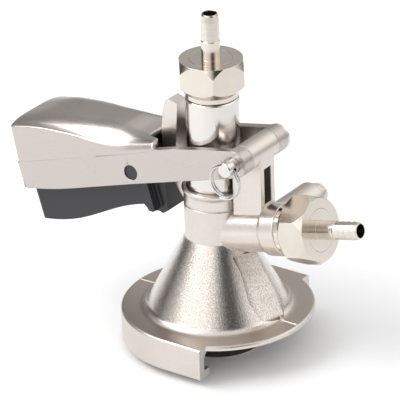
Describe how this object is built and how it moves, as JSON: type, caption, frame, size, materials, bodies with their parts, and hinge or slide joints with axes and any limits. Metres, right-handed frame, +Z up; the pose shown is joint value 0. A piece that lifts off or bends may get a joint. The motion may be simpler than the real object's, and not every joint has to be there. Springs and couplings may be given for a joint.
{
  "type": "keg coupler",
  "caption": "Sliding keg coupler: a lever with a trigger drives a probe through a cast body with a gas inlet and beer outlet.",
  "frame": {"origin": "on the probe's axis, in the plane of the skirt's lower edge, where the keg's neck slides in", "axes": "+Z up the probe towards the beer outlet, +X towards the open side of the slide and the gas inlet, +Y along the hinge pin"},
  "size_m": [0.1833, 0.0904, 0.1639],
  "materials": {
    "satin_nickel": "cast brass, satin nickel plated, finely blasted on the cone",
    "polished_nickel": "brass, bright nickel plated, fine turning marks",
    "polished_steel": "polished stainless steel",
    "brushed_steel": "investment cast stainless steel, satin tumbled",
    "spring_steel": "bright drawn wire",
    "dark_plastic": "glass-filled nylon, fine matt grain",
    "black_rubber": "moulded nitrile rubber",
    "white_rubber": "translucent silicone",
    "white_plastic": "moulded acetal",
    "red_plastic": "moulded polymer washer",
    "brass": "turned brass"
  },
  "bodies": {
    "coupler": {"coupler_body": "satin_nickel", "hinge_pin": "polished_steel", "pin_washer": "polished_steel", "gas_check_valve": "white_rubber", "gas_washer": "red_plastic", "gas_tailpiece": "polished_nickel", "gas_nut": "polished_nickel", "relief_spring": "spring_steel", "relief_plug": "polished_nickel"},
    "probe_group": {"probe": "polished_steel", "drive_pins": "polished_steel", "probe_orings": "black_rubber", "probe_seal": "black_rubber", "seal_retainer": "polished_steel", "ball_cage": "white_plastic", "beer_washer": "red_plastic", "beer_tailpiece": "polished_nickel", "beer_nut": "polished_nickel"},
    "lever_group": {"lever": "brushed_steel", "trigger_spring": "spring_steel"},
    "trigger_group": {"trigger": "dark_plastic"},
    "check_ball": {"beer_ball": "white_plastic"},
    "relief_group": {"relief_seal": "black_rubber", "relief_poppet": "brass", "relief_knob": "polished_nickel"},
    "ring": {"split_ring": "spring_steel"}
  },
  "joints": [
    {"name": "lever_hinge", "type": "hinge", "parent": "coupler", "child": "lever_group", "pos_m": [0.023, 0, 0.0981], "axis": [0, 1, 0], "range_deg": [0, 36]},
    {"name": "probe_slide", "type": "slide", "parent": "coupler", "child": "probe_group", "axis": [0, 0, 1], "range_m": [0, 0.015]},
    {"name": "trigger_pivot", "type": "hinge", "parent": "lever_group", "child": "trigger_group", "pos_m": [-0.03469, 0, 0.08018], "axis": [0, 1, 0], "range_deg": [0, 6], "stiffness_Nm_per_rad": 0.5, "springref_deg": -11.46, "deforming": ["trigger_spring"]},
    {"name": "ball_lift", "type": "slide", "parent": "probe_group", "child": "check_ball", "axis": [0, 0, 1], "range_m": [0, 0.002]},
    {"name": "relief_pull", "type": "slide", "parent": "coupler", "child": "relief_group", "axis": [0, 1, 0], "range_m": [0, 0.0025], "stiffness_N_per_m": 800, "springref_m": -0.002, "deforming": ["relief_spring"]},
    {"name": "ring_swing", "type": "hinge", "parent": "coupler", "child": "ring", "pos_m": [0.023, -0.0215, 0.0981], "axis": [0.9659, 0, -0.2588], "range_deg": [-80, 10]}
  ],
  "couplings": [
    {"joint": "probe_slide", "follows": "lever_hinge", "m_per_rad": 0.0238}
  ]
}
